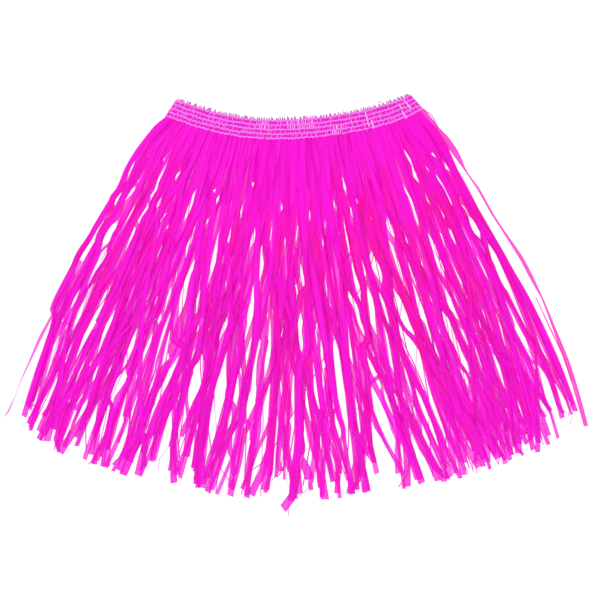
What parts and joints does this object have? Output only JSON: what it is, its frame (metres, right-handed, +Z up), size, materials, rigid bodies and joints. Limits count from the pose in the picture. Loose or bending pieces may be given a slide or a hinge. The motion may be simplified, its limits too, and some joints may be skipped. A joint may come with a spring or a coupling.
{
  "type": "grass skirt",
  "caption": "Short raffia hula skirt lying flat: a shirred elastic waistband with a fringe of long ribbons in front and back layers.",
  "frame": {"origin": "middle of the box in plan, on the surface that the skirt lies on", "axes": "+X across the skirt, to the right as seen from above; +Y from the hem up to the waistband; +Z up from the surface, out of the front"},
  "size_m": [0.597, 0.4278, 0.0094],
  "materials": {
    "shirred_raffia": "gathered polypropylene raffia under paler elastic thread",
    "raffia_ribbon": "thin translucent fluorescent polypropylene film, finely creased"
  },
  "bodies": {
    "root": {"waistband_back": "shirred_raffia", "waistband_front": "shirred_raffia", "fringe_back_under": "raffia_ribbon", "fringe_back_over": "raffia_ribbon", "fringe_front_under": "raffia_ribbon", "fringe_front_over": "raffia_ribbon"}
  },
  "joints": []
}
